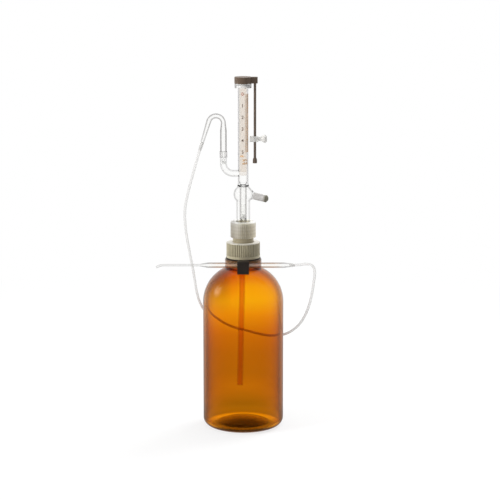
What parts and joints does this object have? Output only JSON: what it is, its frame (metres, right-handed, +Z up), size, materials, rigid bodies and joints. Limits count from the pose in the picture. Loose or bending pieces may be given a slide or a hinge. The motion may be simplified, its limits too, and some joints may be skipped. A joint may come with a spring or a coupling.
{
  "type": "bottle top burette",
  "caption": "Glass plunger burette on an amber bottle: a knob lifts the plunger to fill the barrel, check valves send the dose through a swan neck and tube to a drawn nozzle.",
  "frame": {"origin": "middle of the ring that the bottle stands on, on the bench", "axes": "+Z up the bottle and the barrel, +X towards the stop rod, -Y towards the nozzle at the front"},
  "size_m": [0.1866, 0.101, 0.415],
  "materials": {
    "amber_glass": "clear amber glass",
    "clear_glass": "clear laboratory glass",
    "ground_glass": "finely ground glass",
    "beige_plastic": "moulded, satin",
    "nut_plastic": "translucent white, satin",
    "black_plastic": "satin",
    "white_seal": "silicone",
    "white_fluoroplastic": "waxy",
    "grey_rubber": "matt",
    "tube_plastic": "translucent, waxy",
    "clear_plastic": "clear, polished",
    "translucent_plastic": "translucent white",
    "brown_plastic": "moulded, satin",
    "brown_coated_metal": "coated, satin"
  },
  "bodies": {
    "bottle": {"bottle": "amber_glass", "nozzle_holder": "black_plastic", "cap_liner": "white_seal", "adapter": "beige_plastic", "jacket_seal": "white_seal", "valve_head": "clear_glass", "inlet_seat": "white_fluoroplastic", "inlet_cage": "clear_glass", "dip_tube": "tube_plastic", "barrel": "clear_glass", "outlet_seat": "white_fluoroplastic", "guide_collar": "clear_plastic", "discharge_tube": "tube_plastic"},
    "cap": {"bottle_cap": "beige_plastic"},
    "nut": {"clamp_nut": "nut_plastic"},
    "plunger": {"plunger": "ground_glass", "top_cap": "brown_plastic", "stop_rod": "brown_coated_metal", "rod_end": "brown_coated_metal"},
    "stop": {"volume_stop": "translucent_plastic"},
    "thumbscrew": {"thumbscrew": "translucent_plastic"},
    "vent_plug": {"vent_plug": "grey_rubber"},
    "inlet_ball": {"inlet_ball": "clear_glass"},
    "outlet_ball": {"outlet_ball": "clear_glass"},
    "swan_neck": {"swan_neck": "clear_glass"},
    "nozzle": {"nozzle": "clear_glass"}
  },
  "joints": [
    {"name": "plunger_slide", "type": "slide", "parent": "bottle", "child": "plunger", "axis": [0, 0, 1], "range_m": [0, 0.056]},
    {"name": "stop_slide", "type": "slide", "parent": "plunger", "child": "stop", "axis": [0, 0, -1], "range_m": [-0.056, 0.019]},
    {"name": "thumbscrew_turn", "type": "hinge", "parent": "stop", "child": "thumbscrew", "pos_m": [0.0186, 0, 0.34295], "axis": [1, 0, 0], "continuous": true},
    {"name": "cap_turn", "type": "hinge", "parent": "bottle", "child": "cap", "pos_m": [0, 0, 0.21], "axis": [0, 0, 1], "range_deg": [0, 360]},
    {"name": "nut_turn", "type": "hinge", "parent": "bottle", "child": "nut", "pos_m": [0, 0, 0.236], "axis": [0, 0, 1], "range_deg": [0, 360]},
    {"name": "vent_plug_pull", "type": "slide", "parent": "bottle", "child": "vent_plug", "axis": [0.8586, -0.4957, -0.1305], "range_m": [0, 0.013]},
    {"name": "inlet_ball_lift", "type": "slide", "parent": "bottle", "child": "inlet_ball", "axis": [0, 0, 1], "range_m": [0, 0.0015]},
    {"name": "outlet_ball_lift", "type": "slide", "parent": "bottle", "child": "outlet_ball", "axis": [0, 0, 1], "range_m": [0, 0.0015]},
    {"name": "swan_neck_turn", "type": "hinge", "parent": "bottle", "child": "swan_neck", "pos_m": [-0.0229, 0, 0.325], "axis": [0, 0, 1], "range_deg": [-15, 15], "deforming": ["discharge_tube"]},
    {"name": "nozzle_turn", "type": "hinge", "parent": "bottle", "child": "nozzle", "pos_m": [0, -0.0262, 0.19855], "axis": [1, 0, 0], "range_deg": [-90, 90]}
  ]
}
